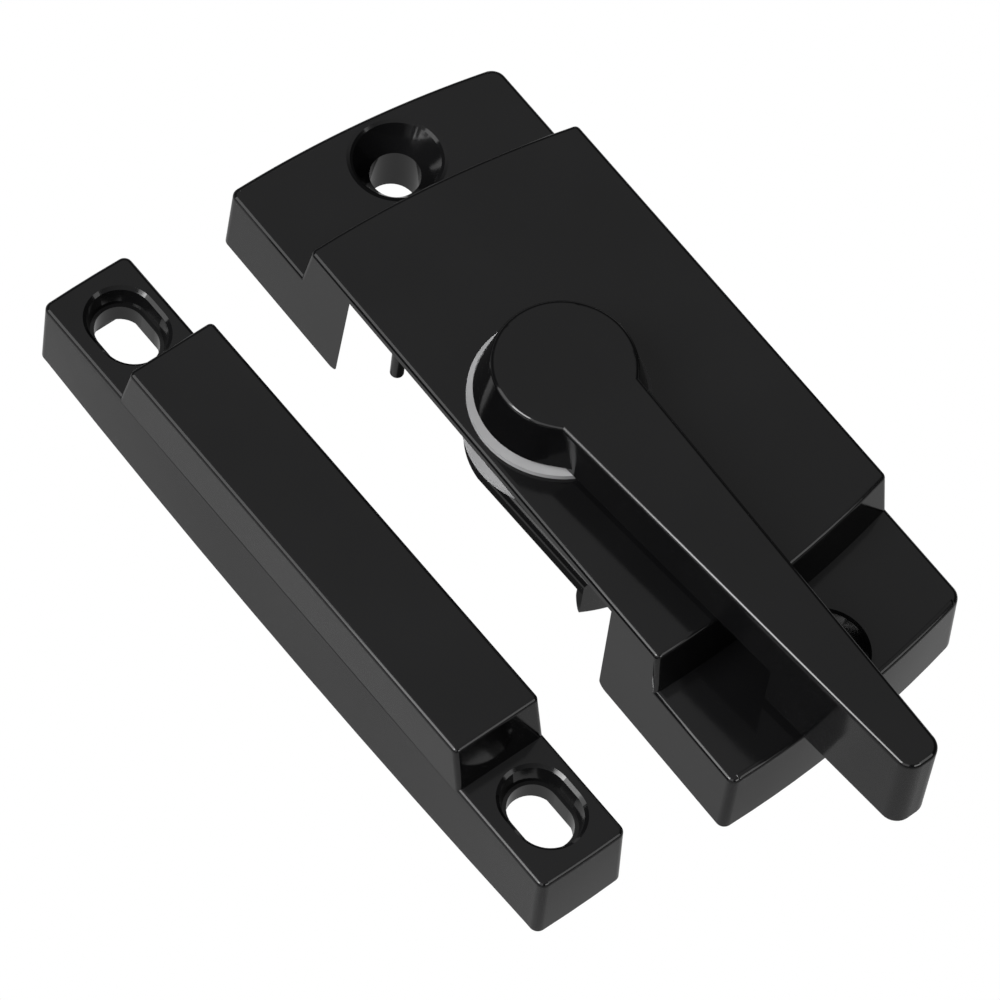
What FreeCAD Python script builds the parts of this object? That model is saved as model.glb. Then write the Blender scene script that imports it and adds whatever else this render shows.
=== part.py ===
import FreeCAD, Part
import math
import os
import Sketcher

# Sliding window lock: a cam lock with a swinging lever, and the keeper that its cam hooks into.
# Frame: origin midway between the lock's two screws on the mounting plane, +X towards the
# lever's tip, -Y towards the keeper, +Z up. Millimetres.

doc = FreeCAD.newDocument("SlidingWindowLock")

sizes = {
    # housing outside, measured at its top
    "half_length": 40.03,
    "end_radius": 123.0,
    "end_centre_y": -13.05,
    "front_y": -15.87,
    "back_y": 14.73,
    "body_height": 14.39,
    "plate_height": 8.83,
    "foot_spread": 0.45,
    "raised_half": 27.53,
    "raised_slope": 0.9,
    "edge_round": 0.6,
    "front_corner_round": 0.9,
    "back_corner_round": 1.6,
    # housing inside
    "side_wall": 1.5,
    "top_wall": 1.15,
    "plate_wall": 1.5,
    "raised_end_wall": 1.7,
    "rib": 1.3,
    "rib_setback": 1.2,
    # screw holes of the housing
    "screw_x": 33.9,
    "bore_r": 2.61,
    "sink_r": 4.72,
    "sink_depth": 3.2,
    "sink_lip": 0.38,
    "screw_boss_r": 5.0,
    # window in the front wall
    "window_x": -0.2,
    "window_half_top": 20.78,
    "window_half_foot": 21.32,
    "window_bevel": 1.8,
    "window_corner_round": 0.8,
    # axis of the lever
    "hub_x": -0.43,
    "hub_y": -6.07,
    "lever_turn": 1.6,
    "swing": 180.0,
    # stack of pieces along the axis
    "upper_washer_thick": 0.6,
    "washer_thick": 0.6,
    "upper_washer_r": 9.05,
    "lower_washer_r": 9.05,
    "spindle_boss_r": 7.5,
    "spindle_boss_z": 9.4,
    "cam_thick": 2.8,
    "journal_r": 3.5,
    "journal_fit": 0.06,
    "washer_fit": 0.15,
    "square_half": 2.4,
    "square_fit": 0.02,
    # lever
    "lever_thick": 6.01,
    "hub_foot_r": 7.85,
    "hub_foot_rise": 0.85,
    "hub_skirt_r": 8.5,
    "hub_top_r": 7.1,
    "hub_point": 1.5,
    "arm_root_half": 5.1,
    "arm_tip_half": 2.18,
    "arm_tip_u": 53.3,
    "arm_tip_round": 1.75,
    "lever_round": 0.65,
    "drop_u": 35.4,
    "drop_z": 9.85,
    "arm_wall": 1.5,
    "core_start_u": 10.2,
    "core_depth": 4.0,
    "socket_depth": 4.4,
    "socket_gap": 0.2,
    # cam
    "cam_disc_r": 8.7,
    "cam_edge_v": 8.65,
    "cam_top_round": 1.1,
    "cam_low_round": 0.6,
    "lip_outer_r": 17.5,
    "lip_wall": 2.0,
    "lip_drop_z": 2.35,
    "lip_end_angle": 150.0,
    "stop_pad_r": 15.2,
    "stop_pad_rise": 1.5,
    "lip_bevel": 0.6,
    "lip_soft_bevel": 0.2,
    # stop studs under the housing's top
    "stud_r": 0.7,
    "stud_reach_r": 16.25,
    "stud_bevel": 0.35,
    "stud_gap": 0.25,
    "shut_stud_angle": 214.0,
    "open_stud_angle": -12.0,
    "stop_slack": 0.5,
    # spring washer, plain washer and peened head under the cam
    "spring_r": 7.6,
    "spring_thick": 0.5,
    "spring_height": 0.9,
    "plain_washer_r": 6.2,
    "head_r": 4.5,
    "head_thick": 1.1,
    "head_bevel": 0.7,
    # keeper
    "keeper_x": -0.64,
    "keeper_y": -33.34,
    "keeper_turn": 0.97,
    "keeper_half": 39.0,
    "keeper_half_width": 5.03,
    "keeper_height": 15.25,
    "keeper_plate_height": 9.3,
    "keeper_corner_round": 0.9,
    "keeper_end_bulge_r": 150.0,
    "keeper_spread": 0.5,
    "keeper_bow": 0.65,
    "keeper_bow_end": 0.03,
    "keeper_bow_height": 8.4,
    "keeper_raised_half": 25.4,
    "keeper_raised_slope": 1.25,
    "slot_x": 32.5,
    "slot_y": 0.35,
    "slot_half_length": 4.5,
    "slot_half_width": 3.45,
    "slot_depth": 2.2,
    "slot_draft": 0.45,
    "slot_step": 0.4,
    "slot_bevel": 0.3,
    "slot_floor_z": 4.8,
    "end_hollow_half": 5.6,
    "end_hollow_half_width": 4.35,
    "keeper_wall": 1.4,
    "keeper_top_wall": 1.4,
    "mouth_half": 18.0,
    "keeper_floor": 1.3,
    "end_core_length": 5.6,
    "hook_half": 8.0,
    "hook_thick": 2.1,
    "hook_z": 5.4,
}

sheet = doc.addObject("Spreadsheet::Sheet", "Sizes")
for row, (alias, value) in enumerate(sizes.items(), start=1):
    sheet.set("A%d" % row, alias)
    sheet.set("B%d" % row, str(value))
    sheet.setAlias("B%d" % row, alias)
doc.recompute()


def full(text):
    # a rule written with bare size names, as an expression on the sheet
    for alias in sorted(sizes, key=len, reverse=True):
        text = swap(text, alias)
    return text


def swap(text, alias):
    out, start = "", 0
    while True:
        at = text.find(alias, start)
        if at < 0:
            return out + text[start:]
        end = at + len(alias)
        before = text[at - 1] if at else " "
        after = text[end] if end < len(text) else " "
        whole = not (before.isalnum() or before in "_.") and not (after.isalnum() or after == "_")
        out += text[start:at] + ("Sizes." + alias if whole else alias)
        start = end


def val(text):
    return float(sheet.evalExpression(full(text)))


def new_body(label, x="0", y="0", turn=None):
    body = doc.addObject("PartDesign::Body", label)
    body.Label = label
    if turn:
        body.Placement.Rotation = FreeCAD.Rotation(FreeCAD.Vector(0, 0, 1), val(turn))
        body.setExpression("Placement.Rotation.Angle", full(turn) + " * 1 deg")
    body.setExpression("Placement.Base.x", full(x))
    body.setExpression("Placement.Base.y", full(y))
    return body


def new_sketch(body, name, level="0", role="XY_Plane"):
    sketch = body.newObject("Sketcher::SketchObject", name)
    plane = [f for f in body.Origin.OriginFeatures if f.Role == role][0]
    sketch.AttachmentSupport = [(plane, "")]
    sketch.MapMode = "FlatFace"
    sketch.setExpression("AttachmentOffset.Base.z", full(level))
    return sketch


def tie(sketch, kind, first, second, text):
    place = Sketcher.Constraint(kind, *first, *second, val(text))
    number = sketch.addConstraint(place)
    sketch.setExpression("Constraints[%d]" % number, full(text))


def tie_point(sketch, geo, end, x, y):
    tie(sketch, "DistanceX", (-1, 1), (geo, end), x)
    tie(sketch, "DistanceY", (-1, 1), (geo, end), y)


def tie_radius(sketch, geo, text):
    number = sketch.addConstraint(Sketcher.Constraint("Radius", geo, val(text)))
    sketch.setExpression("Constraints[%d]" % number, full(text))


def add_circle(sketch, x, y, radius):
    centre = FreeCAD.Vector(val(x), val(y), 0)
    circle = Part.Circle(centre, FreeCAD.Vector(0, 0, 1), val(radius))
    geo = sketch.addGeometry(circle, False)
    tie_point(sketch, geo, 3, x, y)
    tie_radius(sketch, geo, radius)


def add_outline(sketch, corners, arcs=()):
    # corners run counter-clockwise; arcs maps an edge to its radius and whether it bulges out
    arcs = dict(arcs)
    points = [FreeCAD.Vector(val(x), val(y), 0) for x, y in corners]
    count = len(points)
    ends = []
    for i in range(count):
        a, b = points[i], points[(i + 1) % count]
        if i not in arcs:
            geo = sketch.addGeometry(Part.LineSegment(a, b), False)
            ends.append((geo, 1, 2))
            continue
        text, outward = arcs[i]
        radius = val(text)
        chord = b - a
        lift = math.sqrt(max(radius ** 2 - chord.Length ** 2 / 4, 0))
        left = FreeCAD.Vector(-chord.y, chord.x, 0).normalize()
        centre = (a + b) * 0.5 + left * (lift if outward else -lift)
        first, last = (a, b) if outward else (b, a)
        start = math.atan2(first.y - centre.y, first.x - centre.x)
        stop = math.atan2(last.y - centre.y, last.x - centre.x)
        circle = Part.Circle(centre, FreeCAD.Vector(0, 0, 1), radius)
        geo = sketch.addGeometry(Part.ArcOfCircle(circle, start, stop), False)
        ends.append((geo, 1, 2) if outward else (geo, 2, 1))
    for i in range(count):
        geo, begin, end = ends[i]
        after = ends[(i + 1) % count]
        sketch.addConstraint(Sketcher.Constraint("Coincident", geo, end, after[0], after[1]))
    for i in range(count):
        tie_point(sketch, ends[i][0], ends[i][1], *corners[i])
    for i, (text, outward) in arcs.items():
        tie_radius(sketch, ends[i][0], text)


def loft(body, name, profile, section, cut=False):
    kind = "PartDesign::SubtractiveLoft" if cut else "PartDesign::AdditiveLoft"
    feature = body.newObject(kind, name)
    feature.Profile = profile
    feature.Sections = [section]
    feature.Ruled = True
    profile.Visibility = False
    section.Visibility = False
    return finish(body, feature, cut)


def pad(body, name, sketch, length):
    feature = body.newObject("PartDesign::Pad", name)
    feature.Profile = sketch
    feature.setExpression("Length", full(length))
    return finish(body, feature, False)


def pocket(body, name, sketch, length, upward=True, both=False):
    feature = body.newObject("PartDesign::Pocket", name)
    feature.Profile = sketch
    feature.Reversed = upward
    if both:
        feature.SideType = "Symmetric"
    feature.setExpression("Length", full(length))
    return finish(body, feature, True)


def revolve(body, name, sketch, cut=False):
    feature = body.newObject("PartDesign::Groove" if cut else "PartDesign::Revolution", name)
    feature.Profile = sketch
    feature.ReferenceAxis = (sketch, ["V_Axis"])
    feature.Angle = 360.0
    return finish(body, feature, cut)


def finish(body, feature, cut=None):
    # each step has to change the body's volume the way it is meant to
    before = body.Shape.Volume if not body.Shape.isNull() else 0.0
    doc.recompute()
    if "Invalid" in feature.State or "Error" in feature.State:
        raise RuntimeError("%s of %s failed" % (feature.Name, body.Label))
    after = body.Shape.Volume
    if after == before or (cut is not None and (after < before) != cut):
        raise RuntimeError("%s of %s changed nothing" % (feature.Name, body.Label))
    return feature


def edge_names(body, name, wanted):
    names = ["Edge%d" % (i + 1) for i, edge in enumerate(body.Tip.Shape.Edges) if wanted(edge)]
    if not names:
        raise RuntimeError("%s of %s found no edge" % (name, body.Label))
    return names


def fillet(body, name, wanted, radius):
    tip, names = body.Tip, edge_names(body, name, wanted)
    feature = body.newObject("PartDesign::Fillet", name)
    feature.Base = (tip, names)
    feature.setExpression("Radius", full(radius))
    return finish(body, feature)


def bevel(body, name, wanted, size):
    tip, names = body.Tip, edge_names(body, name, wanted)
    feature = body.newObject("PartDesign::Chamfer", name)
    feature.Base = (tip, names)
    feature.setExpression("Size", full(size))
    return finish(body, feature, True)


def draft(body, name, wanted, plane, angle):
    # leans the chosen side faces inward as they rise from the plane
    tip = body.Tip
    names = ["Face%d" % (i + 1) for i, face in enumerate(tip.Shape.Faces) if wanted(face)]
    feature = body.newObject("PartDesign::Draft", name)
    feature.Base = (tip, names)
    feature.NeutralPlane = (plane, [""])
    feature.setExpression("Angle", full(angle))
    return finish(body, feature, True)


def level_plane(body, name, level):
    plane = body.newObject("PartDesign::Plane", name)
    plane.AttachmentSupport = [([f for f in body.Origin.OriginFeatures if f.Role == "XY_Plane"][0], "")]
    plane.MapMode = "FlatFace"
    plane.setExpression("AttachmentOffset.Base.z", full(level))
    plane.Visibility = False
    return plane


def side_face(face):
    return face.BoundBox.ZLength > 0.5


def upright(edge):
    ends = [v.Point for v in edge.Vertexes]
    rise = abs(ends[0].z - ends[-1].z)
    return rise > 2.0 and rise > 0.9 * edge.Length


def low(edge):
    return edge.BoundBox.ZMin


def high(edge):
    return edge.BoundBox.ZMax


def near(a, b):
    return abs(a - b) < 0.02


# Housing: outline at a level, where grow is how far it stands outside the top's outline
def end_x(half, grow, y):
    reach = "sqrt((end_radius + %s) ^ 2 - (%s - end_centre_y) ^ 2)" % (grow, y)
    return "(%s - end_radius + %s)" % (half, reach)


def housing_outline(sketch, half, grow, sides):
    front = "(front_y - (%s))" % sides
    back = "(back_y + (%s))" % sides
    fx, bx = end_x(half, grow, front), end_x(half, grow, back)
    corners = [("-" + fx, front), (fx, front), (bx, back), ("-" + bx, back)]
    radius = "end_radius + " + grow
    add_outline(sketch, corners, {1: (radius, True), 3: (radius, True)})


plate_grow = "foot_spread * (1 - plate_height / body_height)"
top_under = "(body_height - top_wall)"
plate_under = "(plate_height - plate_wall)"

housing = new_body("housing")
foot = new_sketch(housing, "Foot")
housing_outline(foot, "half_length", "foot_spread", "foot_spread")
pad(housing, "Block", foot, "body_height")
draft(housing, "BlockDraft", side_face, level_plane(housing, "FootLevel", "0"),
      "atan(foot_spread / body_height)")

# The ends are stepped down to the two screw plates
steps = new_sketch(housing, "StepOutline", "plate_height")
front, back, far = "(front_y - 2)", "(back_y + 2)", "(half_length + 4)"
fx, bx = end_x("raised_half", "raised_slope", front), end_x("raised_half", "raised_slope", back)
radius = "end_radius + raised_slope"
add_outline(steps, [(fx, front), (far, front), (far, back), (bx, back)], {3: (radius, False)})
add_outline(steps, [("-" + bx, back), ("-" + far, back), ("-" + far, front), ("-" + fx, front)],
            {3: (radius, False)})
pocket(housing, "Steps", steps, "body_height - plate_height")
plate_z, body_z = val("plate_height"), val("body_height")
draft(housing, "StepDraft",
      lambda f: side_face(f) and near(f.BoundBox.ZMin, plate_z) and f.BoundBox.XLength < 8,
      level_plane(housing, "PlateLevel", "plate_height"),
      "atan(raised_slope / (body_height - plate_height))")


# Soft outer edges: upright corners first, then the rims of the plates and of the raised part
def middle_of(edge):
    return edge.valueAt((edge.FirstParameter + edge.LastParameter) / 2)


def outer_corner(edge):
    return upright(edge) and near(low(edge), 0)


def rim_edge(edge, step_x, plate, top):
    if upright(edge):
        return near(low(edge), plate)
    if near(low(edge), top) and near(high(edge), top):
        return True
    flat = near(low(edge), plate) and near(high(edge), plate)
    return flat and abs(middle_of(edge).x) > step_x


fillet(housing, "FrontCorners", lambda e: outer_corner(e) and middle_of(e).y < 0, "front_corner_round")
fillet(housing, "BackCorners", lambda e: outer_corner(e) and middle_of(e).y > 0, "back_corner_round")
step_x = val("raised_half + raised_slope + 0.5")
fillet(housing, "Rims", lambda e: rim_edge(e, step_x, plate_z, body_z), "edge_round")

# Hollow underside: a shallow bay under the plates and a deep one under the raised part
bay = []
for level, name in (("0", "BayFoot"), (plate_under, "BayTop")):
    sketch = new_sketch(housing, name, level)
    grow = "(foot_spread * (1 - %s / body_height) - side_wall)" % level
    housing_outline(sketch, "half_length", grow, grow)
    bay.append(sketch)
loft(housing, "Bay", bay[0], bay[1], cut=True)

chamber = []
for level, name in (("0", "ChamberFoot"), (top_under, "ChamberTop")):
    sketch = new_sketch(housing, name, level)
    grow = "(foot_spread * (1 - %s / body_height) - side_wall)" % level
    housing_outline(sketch, "raised_half - raised_end_wall", "0", grow)
    chamber.append(sketch)
loft(housing, "Chamber", chamber[0], chamber[1], cut=True)

# Screw bosses, each tied to the walls by ribs
bosses = new_sketch(housing, "ScrewBossOutline")
for sign in ("", "-"):
    add_circle(bosses, sign + "screw_x", "0", "screw_boss_r")
pad(housing, "ScrewBosses", bosses, plate_under)

ribs = new_sketch(housing, "RibOutline", "rib_setback")
for sign, turn in (("", 1), ("-", -1)):
    inner, outer = sign + "(screw_x - rib / 2)", sign + "(screw_x + rib / 2)"
    xs = (inner, outer) if turn > 0 else (outer, inner)
    for y0, y1 in (("(front_y + side_wall / 2)", "(-screw_boss_r + 0.5)"),
                   ("(screw_boss_r - 0.5)", "(back_y - side_wall / 2)")):
        add_outline(ribs, [(xs[0], y0), (xs[1], y0), (xs[1], y1), (xs[0], y1)])
pad(housing, "Ribs", ribs, plate_under + " - rib_setback + 0.1")

# Boss that carries the spindle
boss = new_sketch(housing, "SpindleBossOutline", "spindle_boss_z")
add_circle(boss, "hub_x", "hub_y", "spindle_boss_r")
pad(housing, "SpindleBoss", boss, top_under + " - spindle_boss_z")

# Window for the cam in the front wall, open at the foot and wider inside
window = []
for level, half, name in (("0", "window_half_foot", "WindowFoot"),
                          (top_under, "window_half_top", "WindowTop")):
    sketch = new_sketch(housing, name, level)
    face = "(front_y - foot_spread * (1 - %s / body_height))" % level
    inside = "(%s + side_wall + 0.4)" % face
    lo, hi = "(window_x - %s)" % half, "(window_x + %s)" % half
    add_outline(sketch, [(lo, face + " - 1"), (hi, face + " - 1"), (hi, face),
                         (hi + " + window_bevel", inside), (lo + " - window_bevel", inside),
                         (lo, face)])
    window.append(sketch)
loft(housing, "Window", window[0], window[1], cut=True)
window_lo, window_hi = val("window_half_foot - 0.1"), val("window_half_foot + window_bevel + 0.1")
fillet(housing, "WindowCorners",
       lambda e: near(low(e), 0) and near(high(e), 0) and e.BoundBox.YLength > 0.5
       and middle_of(e).y < val("front_y + side_wall + 0.5")
       and window_lo < abs(middle_of(e).x - val("window_x")) < window_hi, "window_corner_round")

# Two studs that end the cam's swing
studs = new_sketch(housing, "StudOutline", "spindle_boss_z - washer_thick + stud_gap")
for angle in ("shut_stud_angle", "open_stud_angle"):
    add_circle(studs, "hub_x + stud_reach_r * cos(%s * 1 deg)" % angle,
               "hub_y + stud_reach_r * sin(%s * 1 deg)" % angle, "stud_r")
pad(housing, "Studs", studs, top_under + " - spindle_boss_z + washer_thick - stud_gap")
stud_z = val("spindle_boss_z - washer_thick + stud_gap")
stud_r = val("stud_r")
bevel(housing, "StudBevels",
      lambda e: near(low(e), stud_z) and near(high(e), stud_z) and e.BoundBox.XLength < 3 * stud_r,
      "stud_bevel")

# Countersunk screw holes whose lips turn into the plate in two more steps, and the spindle's bore
sink_lean = "atan((sink_r - bore_r) / sink_depth)"
lip_step = "((90 deg - %s) / 3)" % sink_lean
for side_name, x in (("Right", "screw_x"), ("Left", "(-screw_x)")):
    sink = new_sketch(housing, side_name + "SinkProfile", "0", "XZ_Plane")
    sink.setExpression("AttachmentOffset.Base.x", full(x))
    rim_x = "(sink_r + sink_lip)"
    mid_x, mid_z = "(%s - sink_lip * cos(%s))" % (rim_x, lip_step), "sink_lip * sin(%s)" % lip_step
    low_x = "(%s - sink_lip * cos(2 * %s))" % (mid_x, lip_step)
    low_z = "(%s + sink_lip * sin(2 * %s))" % (mid_z, lip_step)
    cone_z = "(%s + (%s - bore_r) / tan(%s))" % (low_z, low_x, sink_lean)
    add_outline(sink, [("0", "-1"), ("bore_r", "-1"), ("bore_r", "plate_height - %s" % cone_z),
                       (low_x, "plate_height - %s" % low_z), (mid_x, "plate_height - %s" % mid_z),
                       (rim_x, "plate_height"), (rim_x, "plate_height + 1"), ("0", "plate_height + 1")])
    revolve(housing, side_name + "Sink", sink, cut=True)

bore = new_sketch(housing, "SpindleBoreOutline", "0")
add_circle(bore, "hub_x", "hub_y", "journal_r + journal_fit")
pocket(housing, "SpindleBore", bore, "body_height + 1")

# Nylon washers above and below the housing's top
for label, level, radius, thick in (
        ("upper_washer", "body_height", "upper_washer_r", "upper_washer_thick"),
        ("lower_washer", "spindle_boss_z - washer_thick", "lower_washer_r", "washer_thick")):
    washer = new_body(label, "hub_x", "hub_y")
    ring = new_sketch(washer, label.title().replace("_", "") + "Ring", level)
    add_circle(ring, "0", "0", radius)
    add_circle(ring, "0", "0", "journal_r + washer_fit")
    pad(washer, label.title().replace("_", "") + "Pad", ring, thick)

# Lever, in its own frame: +X along the arm, origin on the axis
lever_base = "(body_height + upper_washer_thick)"
lever_top = "(body_height + upper_washer_thick + lever_thick)"
lever = new_body("lever", "hub_x", "hub_y", "lever_turn")
arm = new_sketch(lever, "ArmOutline", "drop_z")
add_outline(arm, [("0", "-arm_root_half"), ("arm_tip_u", "-arm_tip_half"),
                  ("arm_tip_u", "arm_tip_half"), ("0", "arm_root_half")])
pad(lever, "Arm", arm, lever_top + " - drop_z")
tip_u = val("arm_tip_u")
fillet(lever, "TipCorners", lambda e: upright(e) and near(e.Vertexes[0].X, tip_u), "arm_tip_round")
relief = new_sketch(lever, "ReliefOutline", "drop_z")
wide = "(arm_root_half + 1)"
add_outline(relief, [("-1", "-" + wide), ("drop_u", "-" + wide), ("drop_u", wide), ("-1", wide)])
pocket(lever, "Relief", relief, lever_base + " - drop_z")

hub = []
hub_levels = (("HubFoot", lever_base, "hub_foot_r"),
              ("HubSkirt", "(%s + hub_foot_rise)" % lever_base, "hub_skirt_r"),
              ("HubTop", lever_top, "hub_top_r"))
for name, level, radius in hub_levels:
    sketch = new_sketch(lever, name, level)
    # a round hub whose sides run tangent to a point on the arm
    tx, ty = "(%s / hub_point)" % radius, "(%s * sqrt(1 - 1 / hub_point ^ 2))" % radius
    add_outline(sketch, [("-" + radius, "0"), (tx, "-" + ty), ("(%s * hub_point)" % radius, "0"),
                         (tx, ty)], {0: (radius, True), 3: (radius, True)})
    hub.append(sketch)
loft(lever, "HubUndercut", hub[0], hub[1])
loft(lever, "Hub", hub[1], hub[2])

lever_z = val(lever_top)
fillet(lever, "LeverEdges", lambda e: near(low(e), lever_z) and near(high(e), lever_z), "lever_round")

core = new_sketch(lever, "CoreOutline", lever_base)
slope = "(arm_root_half - arm_tip_half) / arm_tip_u"
half_at = "(arm_root_half - %s * %s - arm_wall)"
start, stop = "core_start_u", "(drop_u - arm_wall)"
add_outline(core, [(start, "-" + half_at % (slope, start)), (stop, "-" + half_at % (slope, stop)),
                   (stop, half_at % (slope, stop)), (start, half_at % (slope, start))])
pocket(lever, "ArmCore", core, "core_depth")
socket = new_sketch(lever, "SocketOutline", lever_base)
side = "(square_half + square_fit)"
add_outline(socket, [("-" + side, "-" + side), (side, "-" + side), (side, side), ("-" + side, side)])
pocket(lever, "Socket", socket, "socket_depth")

# Cam: a plate with a lip that hangs down round its edge
cam_base = "(spindle_boss_z - washer_thick - cam_thick)"
cam_top = "(spindle_boss_z - washer_thick)"
lip_v = "-cam_edge_v"
# the straight front edge of the plate meets the lip's outer circle at this angle
lip_start = "asin(cam_edge_v / lip_outer_r)"
cam = new_body("cam", "hub_x", "hub_y", "lever_turn")
plate = new_sketch(cam, "CamOutline", cam_base)
lip_u = "sqrt(lip_outer_r ^ 2 - cam_edge_v ^ 2)"
end_u = "(lip_outer_r * cos(lip_end_angle * 1 deg))"
end_v = "(lip_outer_r * sin(lip_end_angle * 1 deg))"
disc_u = "(cam_disc_r * cos(lip_end_angle * 1 deg + 25 deg))"
disc_v = "(cam_disc_r * sin(lip_end_angle * 1 deg + 25 deg))"
edge_u = "(-sqrt(cam_disc_r ^ 2 - cam_edge_v ^ 2))"
add_outline(plate, [(edge_u, lip_v), (lip_u, lip_v), ("0", "lip_outer_r"), (end_u, end_v),
                    (disc_u, disc_v)],
            {1: ("lip_outer_r", True), 2: ("lip_outer_r", True), 4: ("cam_disc_r", True)})
pad(cam, "CamPlate", plate, "cam_thick")


# the straight front edge and the disc's edge are well rounded, more above than below
def front_of_cam(edge, level):
    if not (near(low(edge), level) and near(high(edge), level)):
        return False
    spot = middle_of(edge)
    return near(spot.y, -val("cam_edge_v")) or near(math.hypot(spot.x, spot.y), val("cam_disc_r"))


for name, level, radius in (("CamTopRound", cam_top, "cam_top_round"),
                            ("CamLowRound", cam_base, "cam_low_round")):
    z = val(level)
    fillet(cam, name, lambda e: front_of_cam(e, z), radius)


def sector(sketch, inner, outer, first, last):
    middle = "((%s + %s) / 2)" % (first, last)
    spots = []
    for radius, angle in ((inner, last), (inner, middle), (inner, first),
                          (outer, first), (outer, middle), (outer, last)):
        spots.append(("(%s) * cos(%s)" % (radius, angle), "(%s) * sin(%s)" % (radius, angle)))
    add_outline(sketch, spots, {0: (inner, False), 1: (inner, False),
                                3: (outer, True), 4: (outer, True)})


lip = new_sketch(cam, "LipOutline", "lip_drop_z")
lip_inner = "lip_outer_r - lip_wall"
sector(lip, lip_inner, "lip_outer_r", "(-%s)" % lip_start, "(lip_end_angle * 1 deg)")
pad(cam, "Lip", lip, cam_base + " - lip_drop_z + cam_low_round")
stop = new_sketch(cam, "StopPadOutline", cam_top)
stud_half = "atan(stud_r / stud_reach_r)"
slack = "(stop_slack * 1 deg)"
pad_first = "(open_stud_angle * 1 deg + %s + %s)" % (stud_half, slack)
pad_last = "(shut_stud_angle * 1 deg - swing * 1 deg - %s - %s)" % (stud_half, slack)
sector(stop, "stop_pad_r", "lip_outer_r", pad_first, pad_last)
pad(cam, "StopPad", stop, "stop_pad_rise")
lip_z = val("lip_drop_z")
# the lip's two lower edges are broken in two steps
bevel(cam, "LipBevels", lambda e: near(low(e), lip_z) and near(high(e), lip_z)
      and e.BoundBox.DiagonalLength > 3 * val("lip_wall"), "lip_bevel")
bevel(cam, "LipSoftBevels", lambda e: near(low(e), high(e)) and e.BoundBox.DiagonalLength > 3 * val("lip_wall")
      and (near(low(e), lip_z) or near(low(e), lip_z + val("lip_bevel"))), "lip_soft_bevel")
eye = new_sketch(cam, "CamSquareOutline", cam_base)
add_outline(eye, [("-" + side, "-" + side), (side, "-" + side), (side, side), ("-" + side, side)])
pocket(cam, "CamSquare", eye, "cam_thick")

# Spindle: square ends, a round journal between them, and a peened head below
spring_base = "(%s - spring_height)" % cam_base
head_top = "(%s - washer_thick)" % spring_base
spindle = new_body("spindle", "hub_x", "hub_y", "lever_turn")
square = new_sketch(spindle, "SquareOutline", head_top)
half = "square_half"
add_outline(square, [("-" + half, "-" + half), (half, "-" + half), (half, half), ("-" + half, half)])
pad(spindle, "SquareBar", square, lever_base + " + socket_depth - socket_gap - %s" % head_top)
journal = new_sketch(spindle, "JournalOutline", cam_top)
add_circle(journal, "0", "0", "journal_r")
pad(spindle, "Journal", journal, lever_base + " - " + cam_top)
head = new_sketch(spindle, "HeadProfile", "0", "XZ_Plane")
head_low = "(%s - head_thick)" % head_top
add_outline(head, [("0", head_low), ("head_r - 2 * head_bevel", head_low),
                   ("head_r", head_low + " + head_bevel"), ("head_r", head_top), ("0", head_top)])
revolve(spindle, "Head", head)

# Conical spring washer and plain washer between the cam and the head
spring = new_body("spring_washer", "hub_x", "hub_y")
cone = new_sketch(spring, "SpringProfile", "0", "XZ_Plane")
inner = "(journal_r + washer_fit)"
add_outline(cone, [(inner, spring_base), ("spring_r", cam_base + " - spring_thick"),
                   ("spring_r", cam_base), (inner, spring_base + " + spring_thick")])
revolve(spring, "SpringCone", cone)
plain = new_body("plain_washer", "hub_x", "hub_y")
disc = new_sketch(plain, "PlainRing", head_top)
add_circle(disc, "0", "0", "plain_washer_r")
add_circle(disc, "0", "0", inner)
pad(plain, "PlainPad", disc, "washer_thick")

# Keeper, in its own frame: hollow, a little higher than the housing, with two screw slots
keeper = new_body("keeper", "keeper_x", "keeper_y", "keeper_turn")


# the front stands upright, the back and the two bulging ends lean in
keeper_x, keeper_back = "(keeper_half + keeper_spread)", "(keeper_half_width + keeper_spread)"
keeper_foot = new_sketch(keeper, "KeeperFoot")
add_outline(keeper_foot, [("-" + keeper_x, "-keeper_half_width"), (keeper_x, "-keeper_half_width"),
                          (keeper_x, keeper_back), ("-" + keeper_x, keeper_back)],
            {1: ("keeper_end_bulge_r", True), 3: ("keeper_end_bulge_r", True)})
pad(keeper, "KeeperBlock", keeper_foot, "keeper_height")
draft(keeper, "KeeperDraft", lambda f: side_face(f) and not near(f.BoundBox.YMax, -val("keeper_half_width")),
      level_plane(keeper, "KeeperFootLevel", "0"), "atan(keeper_spread / keeper_height)")
for side_name, sign in (("Right", ""), ("Left", "-")):
    ledge = new_sketch(keeper, side_name + "LedgeProfile", "0", "XZ_Plane")
    spots = [("(keeper_raised_half + keeper_raised_slope)", "keeper_plate_height"),
             ("(keeper_half + 4)", "keeper_plate_height"), ("(keeper_half + 4)", "keeper_height"),
             ("keeper_raised_half", "keeper_height")]
    if sign:
        spots = [("-" + x, z) for x, z in reversed(spots)]
    add_outline(ledge, spots)
    pocket(keeper, side_name + "Ledge", ledge, "2 * keeper_half_width + 4", both=True)

keeper_plate_z, keeper_z = val("keeper_plate_height"), val("keeper_height")
ledge_x = val("keeper_raised_half + keeper_raised_slope + 0.3")
fillet(keeper, "KeeperCorners", outer_corner, "keeper_corner_round")
fillet(keeper, "KeeperRims", lambda e: rim_edge(e, ledge_x, keeper_plate_z, keeper_z), "edge_round")

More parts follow.
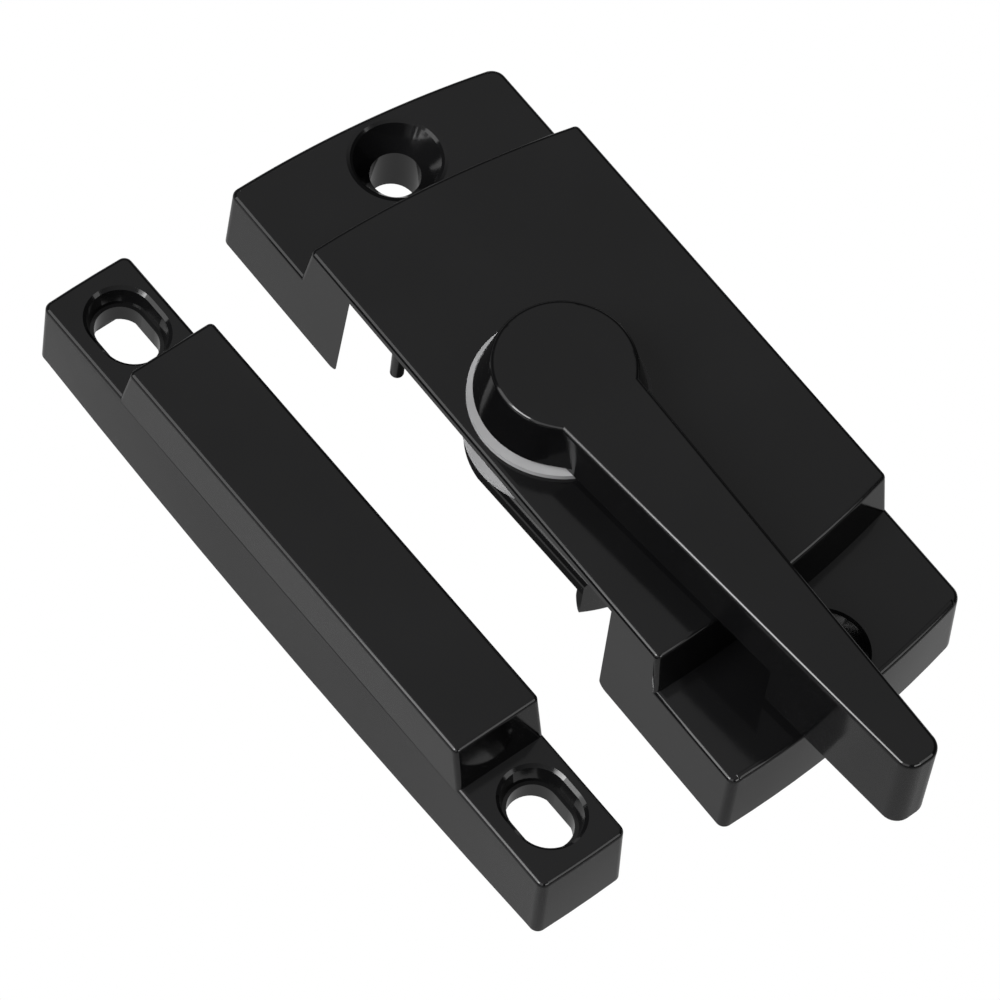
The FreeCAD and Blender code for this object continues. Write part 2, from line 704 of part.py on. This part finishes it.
# The front bows out slightly towards the middle of its foot
bows = []
for name, level, sag in (("BowFoot", "0", "keeper_bow"), ("BowTop", "keeper_bow_height", "keeper_bow_end")):
    sketch = new_sketch(keeper, name, level)
    reach = "(keeper_half - keeper_corner_round)"
    radius = "((%s ^ 2 + %s ^ 2) / (2 * %s))" % (reach, sag, sag)
    add_outline(sketch, [("-" + reach, "-keeper_half_width"), (reach, "-keeper_half_width"),
                         (reach, "(-keeper_half_width + 1)"), ("-" + reach, "(-keeper_half_width + 1)")],
                {0: (radius, True)})
    bows.append(sketch)
loft(keeper, "FrontBow", bows[0], bows[1])

# Recess for the cam, open towards the lock, with a hooking wall on its floor
recess = new_sketch(keeper, "RecessOutline", "keeper_floor")
far_y = "(-keeper_half_width + keeper_wall)"
near_y = "(keeper_half_width + 2)"
add_outline(recess, [("-mouth_half", far_y), ("mouth_half", far_y), ("mouth_half", near_y),
                     ("-mouth_half", near_y)])
pocket(keeper, "Recess", recess, "keeper_height - keeper_top_wall - keeper_floor")
hook = new_sketch(keeper, "HookOutline")
add_outline(hook, [("-hook_half", "keeper_half_width - hook_thick"),
                   ("hook_half", "keeper_half_width - hook_thick"),
                   ("hook_half", "keeper_half_width"), ("-hook_half", "keeper_half_width")])
pad(keeper, "HookWall", hook, "hook_z")

cores = new_sketch(keeper, "EndCoreOutline")
core_y = "(keeper_half_width - keeper_wall)"
for side in (1, -1):
    lo, hi = "(mouth_half + keeper_wall)", "(mouth_half + keeper_wall + end_core_length)"
    xs = (lo, hi) if side > 0 else ("-" + hi, "-" + lo)
    add_outline(cores, [(xs[0], "-" + core_y), (xs[1], "-" + core_y), (xs[1], core_y), (xs[0], core_y)])
pocket(keeper, "EndCores", cores, "keeper_height - keeper_top_wall")

# Hollow ends, each roofed by a plate with a stepped screw slot
def add_slot(sketch, x, inset):
    half_length, half_width = "(slot_half_length - %s)" % inset, "(slot_half_width - %s)" % inset
    run = "(slot_half_length - slot_half_width)"
    lo, hi = "(%s - %s)" % (x, run), "(%s + %s)" % (x, run)
    below, above = "(slot_y - %s)" % half_width, "(slot_y + %s)" % half_width
    add_outline(sketch, [(lo, below), (hi, below), ("(%s + %s)" % (x, half_length), "slot_y"),
                         (hi, above), (lo, above), ("(%s - %s)" % (x, half_length), "slot_y")],
                {1: (half_width, True), 2: (half_width, True),
                 4: (half_width, True), 5: (half_width, True)})


hollows = new_sketch(keeper, "EndHollowOutline")
through = new_sketch(keeper, "ThroughSlotOutline")
for x in ("slot_x", "(-slot_x)"):
    lo, hi = "(%s - end_hollow_half)" % x, "(%s + end_hollow_half)" % x
    below, above = "(slot_y - end_hollow_half_width)", "(slot_y + end_hollow_half_width)"
    add_outline(hollows, [(lo, below), (hi, below), (hi, above), (lo, above)])
    add_slot(through, x, "(slot_draft + slot_step)")
pocket(keeper, "EndHollows", hollows, "slot_floor_z")
pocket(keeper, "ThroughSlots", through, "keeper_plate_height")
for side_name, x in (("Right", "slot_x"), ("Left", "(-slot_x)")):
    rim = new_sketch(keeper, side_name + "SlotRim", "keeper_plate_height")
    add_slot(rim, x, "0")
    ledge = new_sketch(keeper, side_name + "SlotLedge", "keeper_plate_height - slot_depth")
    add_slot(ledge, x, "slot_draft")
    loft(keeper, side_name + "Slot", rim, ledge, cut=True)
slot_x = val("slot_x")
bevel(keeper, "SlotRims",
      lambda e: near(low(e), keeper_plate_z) and near(high(e), keeper_plate_z)
      and abs(abs(e.CenterOfMass.x) - slot_x) < val("slot_half_length")
      and abs(e.CenterOfMass.y) < val("slot_half_width + slot_y") + 0.2, "slot_bevel")

doc.recompute()
os.makedirs("parts", exist_ok=True)
bodies = [o for o in doc.Objects if o.TypeId == "PartDesign::Body"]
for item in doc.Objects:
    if "Invalid" in item.State or "Error" in item.State:
        raise RuntimeError("%s is not built" % item.Label)
for body in bodies:
    if body.Shape.isNull() or not body.Shape.isValid():
        raise RuntimeError("%s has no valid solid" % body.Label)
for body in bodies:
    body.Shape.exportStep("parts/%s.step" % body.Label)
    box = body.Shape.optimalBoundingBox()
    print("%-14s solids %d volume %.1f x %.2f..%.2f y %.2f..%.2f z %.2f..%.2f" % (
        body.Label, len(body.Shape.Solids), body.Shape.Volume,
        box.XMin, box.XMax, box.YMin, box.YMax, box.ZMin, box.ZMax))
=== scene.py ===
import math
import bpy
from mathutils import Matrix, Vector


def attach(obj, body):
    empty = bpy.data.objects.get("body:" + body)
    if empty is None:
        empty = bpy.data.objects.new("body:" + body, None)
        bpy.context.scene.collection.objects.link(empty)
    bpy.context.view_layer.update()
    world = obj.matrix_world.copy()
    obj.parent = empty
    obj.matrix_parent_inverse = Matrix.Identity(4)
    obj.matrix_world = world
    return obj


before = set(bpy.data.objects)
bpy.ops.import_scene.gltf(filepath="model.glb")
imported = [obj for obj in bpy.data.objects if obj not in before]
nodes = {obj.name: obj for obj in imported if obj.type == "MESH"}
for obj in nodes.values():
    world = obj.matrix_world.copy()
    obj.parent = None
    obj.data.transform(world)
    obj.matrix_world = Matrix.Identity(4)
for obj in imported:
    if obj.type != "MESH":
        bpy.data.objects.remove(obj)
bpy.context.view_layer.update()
mm = 0.001
print("frame loaded, CAD nodes:", len(nodes))


# Camera: a long lens looking down on the lock from the keeper's side
cameraView = {
    "azimuth": 44.81,
    "elevation": 59.83,
    "roll": 8.99,
    "target": (-0.5915, -11.739, 0.0),
    "distance": 642.63,
    "lens": 236.1,
    "sensor": 36.0,
    "clip": (0.01, 20.0),
}


def makeCamera(view):
    az = math.radians(view["azimuth"])
    el = math.radians(view["elevation"])
    roll = math.radians(view["roll"])
    back = Vector((math.sin(az) * math.cos(el), -math.cos(az) * math.cos(el), math.sin(el)))
    right = (-back).cross(Vector((0, 0, 1))).normalized()
    up = right.cross(-back)
    turnedRight = right * math.cos(roll) + up * math.sin(roll)
    turnedUp = up * math.cos(roll) - right * math.sin(roll)
    place = Vector(view["target"]) + back * view["distance"]
    bpy.ops.object.camera_add()
    camera = bpy.context.object
    camera.name = "photoCamera"
    turn = Matrix((turnedRight, turnedUp, back)).transposed().to_4x4()
    camera.matrix_world = Matrix.Translation(place * mm) @ turn
    camera.data.sensor_width = view["sensor"]
    camera.data.lens = view["lens"]
    camera.data.clip_start, camera.data.clip_end = view["clip"]
    bpy.context.scene.camera = camera


makeCamera(cameraView)
bpy.context.scene.view_settings.view_transform = "Standard"
print("camera set")


# Shader maths: a socket that can be added, subtracted and scaled like a number
class Signal:
    def __init__(self, maker, socket):
        self.maker = maker
        self.socket = socket

    def join(self, operation, first, second):
        return self.maker.node("ShaderNodeMath", {"operation": operation}, {0: first, 1: second})

    def __add__(self, other):
        return self.join("ADD", self, other)

    def __radd__(self, other):
        return self.join("ADD", other, self)

    def __sub__(self, other):
        return self.join("SUBTRACT", self, other)

    def __mul__(self, other):
        return self.join("MULTIPLY", self, other)

    def __rmul__(self, other):
        return self.join("MULTIPLY", other, self)


class Finish:
    def __init__(self, name, world=False):
        collection = bpy.data.worlds if world else bpy.data.materials
        self.material = collection.new(name)
        self.material.use_nodes = True
        self.tree = self.material.node_tree
        self.tree.nodes.clear()
        kind = "ShaderNodeOutputWorld" if world else "ShaderNodeOutputMaterial"
        self.output = self.tree.nodes.new(kind)

    # settings are put on the node first, then values or links on its sockets
    def node(self, kind, settings=None, inputs=None, out=0):
        made = self.tree.nodes.new(kind)
        for key, value in (settings or {}).items():
            if key == "stops":
                for element, (place, tone) in zip(made.color_ramp.elements, value):
                    element.position = place
                    element.color = (*tone, 1)
            else:
                setattr(made, key, value)
        for key, value in (inputs or {}).items():
            if isinstance(value, Signal):
                self.tree.links.new(value.socket, made.inputs[key])
            else:
                made.inputs[key].default_value = value
        return Signal(self, made.outputs[out])

    def place(self):
        return self.node("ShaderNodeTexCoord", out="Object")

    def axis(self, name, space="Object"):
        place = self.node("ShaderNodeTexCoord", out=space)
        return self.node("ShaderNodeSeparateXYZ", inputs={0: place}, out=name)

    # runs smoothly from one value to another while the signal crosses a range
    def blend(self, signal, crossing, values):
        return self.node("ShaderNodeMapRange", {"interpolation_type": "SMOOTHSTEP"}, {
            "Value": signal, "From Min": crossing[0], "From Max": crossing[1],
            "To Min": values[0], "To Max": values[1]})

    def noise(self, scale, detail):
        return self.node("ShaderNodeTexNoise", inputs={
            "Vector": self.place(), "Scale": scale, "Detail": detail})

    # a colour that runs between two tones while the signal crosses a range
    def tone(self, signal, look):
        low, high = look["toneRange"]
        return self.node("ShaderNodeValToRGB", {
            "stops": [(low, look["darkTone"]), (high, look["paleTone"])]}, {0: signal})

    def bump(self, height, look):
        return self.node("ShaderNodeBump", inputs={
            "Strength": look["bumpStrength"], "Distance": look["bumpHeight"] * mm, "Height": height})

    def shade(self, shader):
        self.tree.links.new(shader.socket, self.output.inputs["Surface"])
        return self.material


# Gloss black enamel over zinc castings: faint orange peel, soft clouding of the gloss
enamel = {
    "darkTone": (0.0033, 0.0033, 0.0035),
    "paleTone": (0.0050, 0.0050, 0.0053),
    "toneRange": (0.35, 0.7),
    "gloss": 0.07,
    "camDulling": 0.01,
    "glossSpread": 0.06,
    "speckSpread": 0.02,
    "cloudScale": 60.0,
    "cloudDetail": 3.0,
    "peelScale": 900.0,
    "peelDetail": 2.0,
    "speckScale": 2600.0,
    "speckDetail": 1.0,
    "bumpStrength": 0.25,
    "bumpHeight": 0.012,
    "refraction": 1.5,
}


def makeEnamel(name, dulling=0.0):
    finish = Finish(name)
    cloud = finish.noise(enamel["cloudScale"], enamel["cloudDetail"])
    peel = finish.noise(enamel["peelScale"], enamel["peelDetail"])
    speck = finish.noise(enamel["speckScale"], enamel["speckDetail"])
    rough = (enamel["gloss"] + dulling + enamel["glossSpread"] * cloud
             + enamel["speckSpread"] * speck)
    shader = finish.node("ShaderNodeBsdfPrincipled", inputs={
        "Base Color": finish.tone(cloud, enamel), "Roughness": rough,
        "Normal": finish.bump(peel, enamel), "IOR": enamel["refraction"]})
    return finish.shade(shader)


# Moulded nylon washers
nylon = {
    "darkTone": (0.32, 0.32, 0.325),
    "paleTone": (0.39, 0.39, 0.395),
    "toneRange": (0.3, 0.7),
    "roughness": 0.55,
    "roughSpread": 0.15,
    "cloudScale": 180.0,
    "cloudDetail": 4.0,
    "grainScale": 1500.0,
    "grainDetail": 2.0,
    "bumpStrength": 0.3,
    "bumpHeight": 0.01,
    "refraction": 1.25,
}


def makeNylon(name):
    finish = Finish(name)
    cloud = finish.noise(nylon["cloudScale"], nylon["cloudDetail"])
    grain = finish.noise(nylon["grainScale"], nylon["grainDetail"])
    shader = finish.node("ShaderNodeBsdfPrincipled", inputs={
        "Base Color": finish.tone(cloud, nylon),
        "Roughness": nylon["roughness"] + nylon["roughSpread"] * grain,
        "Normal": finish.bump(grain, nylon), "IOR": nylon["refraction"]})
    return finish.shade(shader)


# Turned and stamped steel of the hidden stack, with fine rings round its axis
steel = {
    "darkTone": (0.38, 0.38, 0.39),
    "paleTone": (0.58, 0.58, 0.57),
    "toneRange": (0.3, 0.75),
    "roughness": 0.26,
    "roughSpread": 0.14,
    "cloudScale": 220.0,
    "cloudDetail": 4.0,
    "ringScale": 3.2,
    "ringWaver": 1.5,
    "axis": (-0.43, -6.07),
    "bumpStrength": 0.2,
    "bumpHeight": 0.01,
}


def makeSteel(name):
    finish = Finish(name)
    moved = finish.node("ShaderNodeMapping", inputs={
        "Vector": finish.place(), "Location": (*(-part * mm for part in steel["axis"]), 0)})
    rings = finish.node("ShaderNodeTexWave", {
        "wave_type": "RINGS", "rings_direction": "Z", "wave_profile": "SIN"}, {
        "Vector": moved, "Scale": steel["ringScale"] / mm, "Distortion": steel["ringWaver"]}, out="Fac")
    cloud = finish.noise(steel["cloudScale"], steel["cloudDetail"])
    shader = finish.node("ShaderNodeBsdfPrincipled", inputs={
        "Base Color": finish.tone(cloud, steel), "Metallic": 1.0,
        "Roughness": steel["roughness"] + steel["roughSpread"] * cloud,
        "Normal": finish.bump(rings, steel)})
    return finish.shade(shader)


def dress(node, material):
    item = nodes[node]
    item.data.materials.clear()
    item.data.materials.append(material)


castingBlack = makeEnamel("castingBlack")
camBlack = makeEnamel("camBlack", enamel["camDulling"])
washerGrey = makeNylon("washerGrey")
bareSteel = makeSteel("bareSteel")
for node in ("housing", "lever", "keeper"):
    dress(node, castingBlack)
dress("cam", camBlack)
for node in ("upper_washer", "lower_washer"):
    dress(node, washerGrey)
for node in ("spindle", "spring_washer", "plain_washer"):
    dress(node, bareSteel)
print("finishes made")


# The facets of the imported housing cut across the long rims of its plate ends, so a smooth skin
# of its own covers each of these rims
endRim = {
    "endRadius": 123.0,
    "halfLength": 40.03,
    "centreY": -13.05,
    "footSpread": 0.45,
    "bodyHeight": 14.39,
    "plateHeight": 8.83,
    "round": 0.6,
    "front": -15.19,
    "back": 13.86,
    "proud": 0.004,
    "thick": 0.03,
    "alongSteps": 96,
    "acrossSteps": 16,
}


def makeEndRim(name, side):
    draft = math.atan(endRim["footSpread"] / endRim["bodyHeight"])
    level = endRim["plateHeight"] - endRim["round"]
    touch = level + endRim["round"] * math.sin(draft)
    wall = endRim["endRadius"] + endRim["footSpread"] * (1 - touch / endRim["bodyHeight"])
    major = wall - endRim["round"] * math.cos(draft)
    minor = endRim["round"] + endRim["proud"]
    centreX = endRim["halfLength"] - endRim["endRadius"]
    first, last = [math.asin((endRim[end] - endRim["centreY"]) / wall) for end in ("front", "back")]
    bpy.ops.object.select_all(action="DESELECT")
    bpy.ops.mesh.primitive_grid_add(x_subdivisions=endRim["alongSteps"],
                                    y_subdivisions=endRim["acrossSteps"], size=1)
    skin = bpy.context.object
    skin.name = name
    for vertex in skin.data.vertices:
        along, across = vertex.co.x + 0.5, vertex.co.y + 0.5
        turn = first + (last - first) * along
        rise = draft + (math.pi / 2 - draft) * across
        reach = major + minor * math.cos(rise)
        vertex.co = Vector((side * (centreX + reach * math.cos(turn)),
                            endRim["centreY"] + reach * math.sin(turn),
                            level + minor * math.sin(rise))) * mm
    if side < 0:
        skin.data.flip_normals()
    bpy.ops.object.shade_smooth()
    backing = skin.modifiers.new("backing", "SOLIDIFY")
    backing.thickness = endRim["thick"] * mm
    backing.offset = -1
    bpy.ops.object.modifier_apply(modifier=backing.name)
    skin.data.materials.append(castingBlack)
    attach(skin, "lock_body")


makeEndRim("rightEndRim", 1)
makeEndRim("leftEndRim", -1)
print("end rims skinned")


# Ground and light: the black sides mirror a white table that glows for mirrored rays, fading out away
# from the lock, with painted shade on that glow before the cam's window where the lock's shadow would
# fall; the tops mirror a pale ceiling
studio = {
    "floorSize": 3.0,
    "floorCentre": (0.0, -11.0),
    "floorTone": (0.82, 0.82, 0.82, 1),
    "frontMirror": 0.40,
    "endMirror": 0.32,
    "endFrom": 38.0,
    "endTo": 43.0,
    "fadeFrom": 58.0,
    "fadeTo": 130.0,
    "fadedMirror": 0.12,
    "windowShade": 0.1,
    "windowMiddle": -3.0,
    "windowHalf": (15.0, 18.0),
    "windowFront": (-22.0, -18.0),
    "ceiling": 0.355,
    "wall": 0.03,
    "wallTop": 0.45,
    "ceilingFrom": 0.78,
    "scatterLoss": 0.85,
}


def makeFloor():
    bpy.ops.object.select_all(action="DESELECT")
    bpy.ops.mesh.primitive_plane_add(size=studio["floorSize"])
    floor = bpy.context.object
    floor.name = "table"
    finish = Finish("whiteTable")
    seen = finish.node("ShaderNodeLightPath", out="Is Camera Ray")
    mirrored = finish.node("ShaderNodeLightPath", out="Is Glossy Ray")
    matt = finish.node("ShaderNodeBsdfDiffuse", inputs={"Color": studio["floorTone"]})
    dark = finish.node("ShaderNodeBsdfDiffuse", inputs={"Color": (0, 0, 0, 1)})
    glow = finish.node("ShaderNodeEmission", inputs={"Color": (1, 1, 1, 1), "Strength": 1.0})
    x, y = finish.axis("X"), finish.axis("Y")
    across, along = x - studio["floorCentre"][0] * mm, y - studio["floorCentre"][1] * mm
    reach = finish.node("ShaderNodeMath", {"operation": "SQRT"}, {0: across * across + along * along})
    mirror = finish.blend(x, (studio["endFrom"] * mm, studio["endTo"] * mm),
                          (studio["frontMirror"], studio["endMirror"]))
    fade = finish.blend(reach, (studio["fadeFrom"] * mm, studio["fadeTo"] * mm),
                        (1.0, studio["fadedMirror"] / studio["frontMirror"]))
    # painted shade: the table's glow in the gloss drops to windowShade before the cam's window, standing
    # in for the shadow under the lock
    offWindow = finish.node("ShaderNodeMath", {"operation": "ABSOLUTE"},
                            {0: x - studio["windowMiddle"] * mm})
    beside = finish.blend(offWindow, [edge * mm for edge in studio["windowHalf"]], (0.0, 1.0))
    before = finish.blend(y, [edge * mm for edge in studio["windowFront"]], (1.0, 0.0))
    lit = finish.node("ShaderNodeMath", {"operation": "MAXIMUM"}, {0: beside, 1: before})
    shade = finish.blend(lit, (0.0, 1.0), (studio["windowShade"], 1.0))
    ground = finish.node("ShaderNodeMixShader", inputs={0: mirrored, 1: matt, 2: dark})
    finish.shade(finish.node("ShaderNodeMixShader", inputs={
        0: seen + mirrored * mirror * fade * shade, 1: ground, 2: glow}))
    floor.data.materials.append(finish.material)


def makeWorld():
    air = Finish("studioAir", world=True)
    bpy.context.scene.world = air.material
    walls, ceiling, white, dark = [
        air.node("ShaderNodeBackground", inputs={"Color": (1, 1, 1, 1), "Strength": strength})
        for strength in (studio["wall"], studio["ceiling"], 1.0, 0.0)]
    height = air.blend(air.axis("Z", "Generated"), (studio["wallTop"], studio["ceilingFrom"]), (0.0, 1.0))
    room = air.node("ShaderNodeMixShader", inputs={0: height, 1: walls, 2: ceiling})
    scattered = air.node("ShaderNodeLightPath", out="Is Diffuse Ray")
    dimmed = air.node("ShaderNodeMixShader", inputs={
        0: scattered * studio["scatterLoss"], 1: room, 2: dark})
    seen = air.node("ShaderNodeLightPath", out="Is Camera Ray")
    air.shade(air.node("ShaderNodeMixShader", inputs={0: seen, 1: dimmed, 2: white}))


# each box: the direction that it stands in, its width and height in degrees, its distance in
# metres and its radiance
mirroredBoxes = [
    ("frontBox", 0.0, 24.5, 24.0, 23.0, 0.8, 10.5),
    ("frontEdge", -26.0, 23.0, 26.0, 42.0, 0.8, 1.9),
    ("cornerEdge", -9.0, 22.5, 13.0, 30.0, 0.26, 2.3),
    ("middleFill", 32.0, 20.0, 36.0, 32.0, 0.8, 1.2),
    ("sideBox", 90.0, 15.0, 30.0, 18.0, 0.8, 4.0),
    ("sideEdge", 117.0, 22.0, 22.0, 32.0, 0.8, 1.6),
]
lightingBoxes = [
    ("frontLight", -10.0, 45.0, 36.0, 36.0, 0.8, 10.8),
]


# the gloss mirrors the first set of boxes, and the second set lights the pale washers
def makeSoftBox(name, azimuth, elevation, width, height, distance, radiance, mirrored):
    az, el = math.radians(azimuth), math.radians(elevation)
    size = [2 * distance * math.tan(math.radians(angle) / 2) for angle in (width, height)]
    away = Vector((math.sin(az) * math.cos(el), -math.cos(az) * math.cos(el), math.sin(el)))
    bpy.ops.object.light_add(type="AREA")
    lamp = bpy.context.object
    lamp.name = name
    lamp.data.shape = "RECTANGLE"
    lamp.data.size, lamp.data.size_y = size
    lamp.data.energy = radiance * math.pi * size[0] * size[1]
    lamp.location = away * distance
    lamp.rotation_euler = away.to_track_quat("Z", "Y").to_euler()
    lamp.visible_diffuse = not mirrored
    lamp.visible_glossy = mirrored


makeFloor()
makeWorld()
for box in mirroredBoxes:
    makeSoftBox(*box, mirrored=True)
for box in lightingBoxes:
    makeSoftBox(*box, mirrored=False)
print("studio lit")
